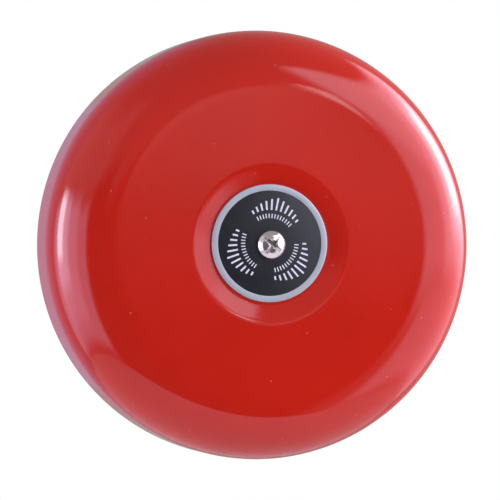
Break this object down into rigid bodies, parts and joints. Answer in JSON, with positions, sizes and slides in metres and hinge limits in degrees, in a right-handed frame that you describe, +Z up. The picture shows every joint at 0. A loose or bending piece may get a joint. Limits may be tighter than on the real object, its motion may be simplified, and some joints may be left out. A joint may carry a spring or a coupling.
{
  "type": "fire alarm bell",
  "caption": "Wall-mounted fire alarm bell: red steel gong with a round nameplate over a motor-driven kicker and sprung striker on a pressed base plate.",
  "frame": {"origin": "where the gong's axis meets the wall plane, on the back of the base plate", "axes": "+Z up the wall, +Y into the wall along the gong's axis, the bell faces -Y, +X to the right of someone who faces it"},
  "size_m": [0.15, 0.0634, 0.15],
  "materials": {
    "gong": "gloss red enamel",
    "bush_nylon": "natural nylon",
    "plate_metal": "satin",
    "plate_print": "black printed film",
    "bright_screw": "polished nickel",
    "plain_steel": "turned",
    "zinc_steel": "zinc plated",
    "base_paint": "red powder coat",
    "rubber": "black",
    "cover_plastic": "textured black",
    "cap_plastic": "ivory moulding",
    "bronze": "sintered bronze",
    "brass": "turned brass",
    "copper": "enamelled copper",
    "carbon": "carbon",
    "ceramic_magnet": "ferrite",
    "lamination": "steel laminations",
    "tip_nylon": "hard nylon",
    "board_green": "solder mask",
    "terminal_plastic": "green moulding",
    "component_black": "black",
    "component_blue": "blue sleeve",
    "lead_red": "red insulation",
    "lead_black": "black insulation"
  },
  "bodies": {
    "bell_frame": {"gong": "gong", "gong_bush": "bush_nylon", "nameplate": "plate_metal", "nameplate_face": "plate_print", "gong_screw": "bright_screw", "centre_pillar": "plain_steel", "pillar_screw": "zinc_steel", "base_plate": "base_paint", "cable_grommet": "rubber", "earth_stud": "zinc_steel", "earth_nut": "brass", "chassis": "zinc_steel", "chassis_screws": "zinc_steel", "chassis_nuts": "zinc_steel", "mechanism_cover": "cover_plastic", "cover_screws": "zinc_steel", "motor_can": "plain_steel", "motor_front_bush": "bronze", "motor_end_cap": "cap_plastic", "motor_rear_bush": "bronze", "motor_terminals": "brass", "brush_arms": "bronze", "brushes": "carbon", "motor_magnets": "ceramic_magnet", "motor_screws": "zinc_steel", "guide_bush": "brass", "striker_spring": "plain_steel", "circuit_board": "board_green", "board_standoffs": "zinc_steel", "board_screws": "zinc_steel", "terminal_block": "terminal_plastic", "terminal_screws": "zinc_steel", "diode": "component_black", "capacitor": "component_black", "suppressor": "component_blue", "lead_red": "lead_red", "lead_black": "lead_black"},
    "rotor": {"motor_shaft": "plain_steel", "rotor_core": "lamination", "rotor_windings": "copper", "commutator": "copper", "rotor_hub": "brass", "kicker_pin": "plain_steel"},
    "kicker": {"kicker": "plain_steel"},
    "striker": {"striker_plunger": "plain_steel", "striker_tip": "tip_nylon", "striker_clip": "plain_steel", "striker_buffer": "rubber"}
  },
  "joints": [
    {"name": "motor_spin", "type": "hinge", "parent": "bell_frame", "child": "rotor", "pos_m": [0, -0.02, -0.029], "axis": [0, -1, 0], "continuous": true},
    {"name": "kicker_swing", "type": "hinge", "parent": "rotor", "child": "kicker", "pos_m": [0.00566, -0.0322, -0.02334], "axis": [0, -1, 0], "range_deg": [0, 135]},
    {"name": "striker_slide", "type": "slide", "parent": "bell_frame", "child": "striker", "axis": [0, 0, -1], "range_m": [0, 0.0022], "stiffness_N_per_m": 350, "springref_m": -0.002, "deforming": ["striker_spring"]}
  ]
}
